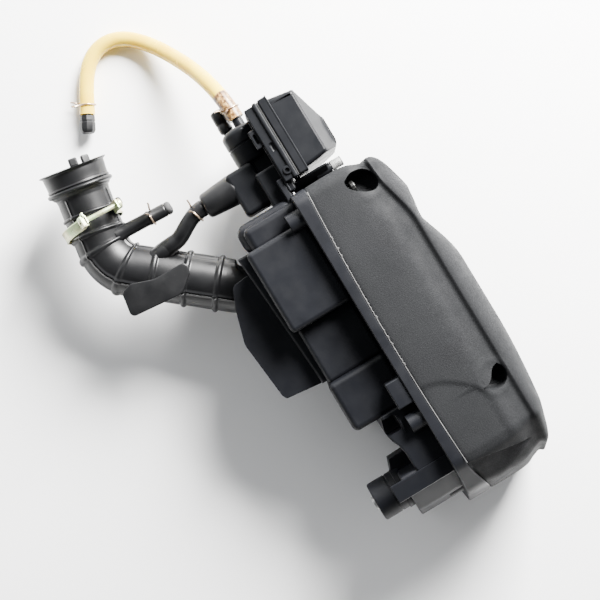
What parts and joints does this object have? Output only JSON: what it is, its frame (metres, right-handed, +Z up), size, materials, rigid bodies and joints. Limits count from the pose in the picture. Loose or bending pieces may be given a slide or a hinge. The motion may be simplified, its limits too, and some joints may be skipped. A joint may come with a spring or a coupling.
{
  "type": "air filter housing",
  "caption": "Moulded two-part air filter housing with ribbed rubber intake hose, screw clamp, breather chamber, hoses and a bushed mounting ear.",
  "frame": {"origin": "middle of the footprint of the housing and its fixed hoses, on the surface that the long side lies on", "axes": "+X along the housing towards its slanted end, +Y from the rear case towards the cover, +Z up from the side it lies on"},
  "size_m": [0.5078, 0.2744, 0.131],
  "materials": {
    "case_plastic": "smooth moulded black polypropylene",
    "cover_plastic": "fine grained moulded grey-black polypropylene, scuffed at the parting edge",
    "breather_plastic": "satin moulded black plastic",
    "hose_rubber": "satin black rubber",
    "seal_rubber": "matt black rubber",
    "yellow_zinc": "yellow passivated zinc plate",
    "screw_steel": "bright zinc plate",
    "black_zinc": "black passivated zinc plate",
    "spring_wire": "dull plated spring wire",
    "amber_vinyl": "translucent aged vinyl",
    "filter_foam": "open-cell foam"
  },
  "bodies": {
    "housing": {"rear_case": "case_plastic", "cover_seal": "seal_rubber", "intake_snorkel": "case_plastic", "intake_hose": "hose_rubber", "clamp_band": "yellow_zinc", "clamp_nut": "yellow_zinc", "stub_clamp": "spring_wire", "return_hose": "hose_rubber", "return_clamp": "spring_wire", "breather_base": "breather_plastic", "breather_seal": "seal_rubber", "breather_baffle": "breather_plastic", "breather_bolt": "yellow_zinc", "breather_screw": "screw_steel", "outlet_duct": "hose_rubber", "nipple_cap": "hose_rubber", "breather_hose": "amber_vinyl", "hose_plug": "hose_rubber", "nipple_clamp": "spring_wire", "plug_clamp": "spring_wire", "mount_grommet": "seal_rubber", "mount_sleeve": "screw_steel"},
    "cover": {"front_cover": "cover_plastic", "cover_screw_1": "black_zinc", "cover_screw_2": "black_zinc", "cover_screw_3": "black_zinc", "cover_screw_4": "black_zinc", "cover_screw_5": "black_zinc", "cover_screw_6": "black_zinc"},
    "filter": {"filter_frame": "breather_plastic", "filter_element": "filter_foam"},
    "breather_cap": {"breather_lid": "breather_plastic"},
    "clamp_screw": {"clamp_screw": "yellow_zinc"},
    "plug": {"stub_plug": "hose_rubber"}
  },
  "joints": [
    {"name": "cover_lift", "type": "slide", "parent": "housing", "child": "cover", "axis": [0, 1, 0], "range_m": [0, 0.12]},
    {"name": "filter_lift", "type": "slide", "parent": "housing", "child": "filter", "axis": [0, 1, 0], "range_m": [0, 0.06]},
    {"name": "breather_lid_lift", "type": "slide", "parent": "housing", "child": "breather_cap", "axis": [0, 1, 0], "range_m": [0, 0.05]},
    {"name": "clamp_screw_turn", "type": "hinge", "parent": "housing", "child": "clamp_screw", "pos_m": [-0.15433, -0.09773, 0.08555], "axis": [0, 0.9063, -0.4226], "continuous": true},
    {"name": "stub_plug_pull", "type": "slide", "parent": "housing", "child": "plug", "axis": [0.0533, 0.9986, 0], "range_m": [0, 0.03]}
  ],
  "couplings": [
    {"joint": "filter_lift", "follows": "cover_lift", "ratio": 0.5}
  ]
}
